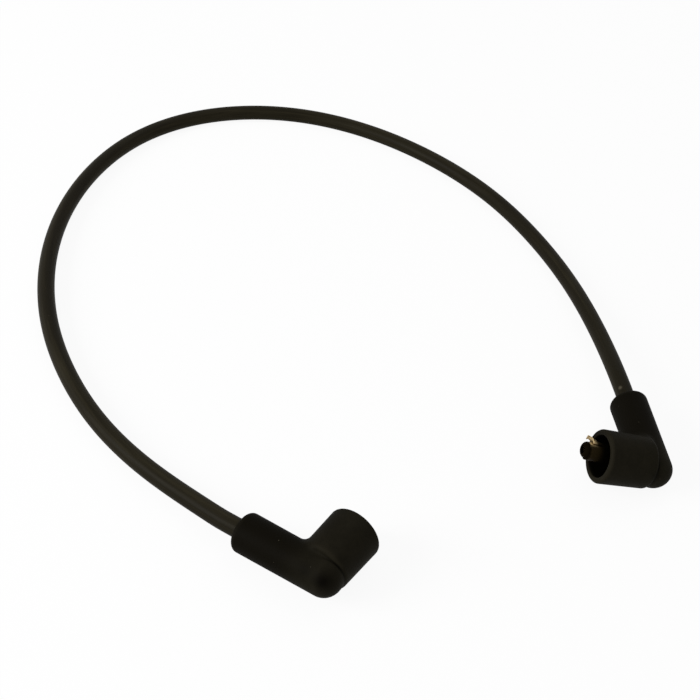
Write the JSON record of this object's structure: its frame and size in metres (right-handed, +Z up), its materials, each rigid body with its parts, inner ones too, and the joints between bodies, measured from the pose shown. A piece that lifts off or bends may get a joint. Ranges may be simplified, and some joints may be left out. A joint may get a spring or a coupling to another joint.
{
  "type": "spark plug wire",
  "caption": "High-tension ignition lead: a 7 mm cable in a loose loop, with a right-angle rubber boot over a brass push-in terminal at each end.",
  "frame": {"origin": "on the surface that the lead lies on, under the middle of the box round both boots and their terminals", "axes": "+Z up from that surface; +Y the way the distributor end's cup opens; -X the way its sleeve leads to the cable"},
  "size_m": [0.3043, 0.2548, 0.0231],
  "materials": {
    "boot_rubber": "matte moulded black rubber",
    "jacket_rubber": "smooth satin black cable jacket",
    "insulation_rubber": "plain pale rubber",
    "terminal_brass": "bright stamped sheet brass",
    "core_metal": "plain copper conductor"
  },
  "bodies": {
    "root": {"distributor_boot": "boot_rubber", "distributor_terminal": "terminal_brass", "coil_boot": "boot_rubber", "coil_terminal": "terminal_brass", "cable_jacket": "jacket_rubber", "cable_insulation": "insulation_rubber", "conductor_core": "core_metal"}
  },
  "joints": []
}
